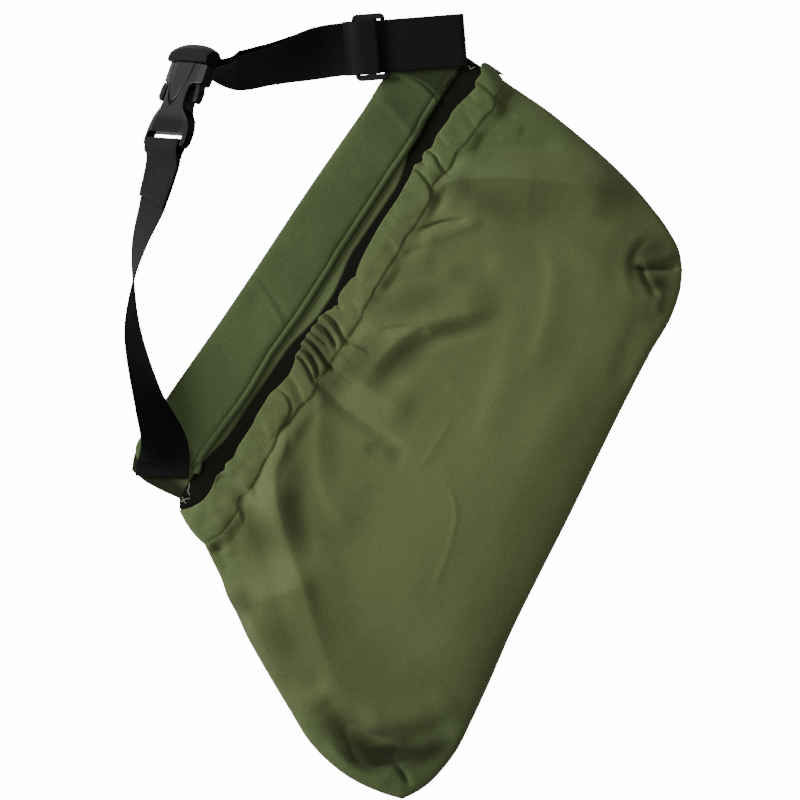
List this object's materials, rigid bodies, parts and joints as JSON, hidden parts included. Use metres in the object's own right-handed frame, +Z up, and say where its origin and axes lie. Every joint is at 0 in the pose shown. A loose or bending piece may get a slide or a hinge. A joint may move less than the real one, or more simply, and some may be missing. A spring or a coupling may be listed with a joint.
{
  "type": "canvas waist pouch",
  "caption": "Empty wide-mouthed canvas waist pouch with a gathered elastic hem, lying flat with its webbing belt buckled in a loop.",
  "frame": {"origin": "middle of the pouch's mouth, on the plane the pouch lies on", "axes": "+X along the mouth towards the slider's end of the belt, +Y from the mouth towards the belt's loop, +Z up, off the surface the pouch lies on"},
  "size_m": [0.5012, 0.4515, 0.0529],
  "materials": {
    "canvas": "olive green plain-weave cotton canvas, matt",
    "webbing": "black ribbed webbing, dull sheen on the ribs",
    "thread": "olive sewing thread",
    "black_thread": "black sewing thread",
    "elastic": "off-white woven elastic",
    "plastic": "moulded black acetal, satin"
  },
  "bodies": {
    "pouch": {"back_panel": "canvas", "front_panel": "canvas", "front_hem": "canvas", "hem_elastic": "elastic", "hem_stitching": "thread", "waistband": "canvas", "band_stitching": "thread", "corner_stitch_left": "thread", "corner_stitch_right": "thread", "dart_left": "thread", "dart_right": "thread", "belt_tunnel_run": "webbing", "belt_left_strap": "webbing", "belt_right_strap": "webbing", "belt_return_strap": "webbing", "buckle_plug": "plastic"},
    "socket": {"buckle_socket": "plastic", "belt_socket_end": "webbing", "socket_box_stitch": "black_thread"},
    "slider": {"slider_frame": "plastic", "belt_slider_end": "webbing"},
    "outer_prong": {"prong_outer": "plastic"},
    "inner_prong": {"prong_inner": "plastic"}
  },
  "joints": [
    {"name": "buckle_release", "type": "slide", "parent": "pouch", "child": "socket", "axis": [-0.9485, -0.2648, 0.1736], "range_m": [0, 0.038], "deforming": ["belt_left_strap", "prong_outer", "prong_inner"]},
    {"name": "slider_adjust", "type": "slide", "parent": "pouch", "child": "slider", "axis": [0.625, -0.7806, 0], "range_m": [0, 0.045], "deforming": ["belt_return_strap"]},
    {"name": "prong_outer_squeeze", "type": "hinge", "parent": "pouch", "child": "outer_prong", "pos_m": [0.0683, 0.17995, 0.01025], "axis": [-0.1089, 0.7877, 0.6063], "range_deg": [0, 10], "stiffness_Nm_per_rad": 0.05},
    {"name": "prong_inner_squeeze", "type": "hinge", "parent": "pouch", "child": "inner_prong", "pos_m": [0.07817, 0.16148, 0.03601], "axis": [-0.1089, 0.7877, 0.6063], "range_deg": [-10, 0], "stiffness_Nm_per_rad": 0.05}
  ],
  "couplings": [
    {"joint": "prong_inner_squeeze", "follows": "prong_outer_squeeze", "ratio": -1}
  ]
}
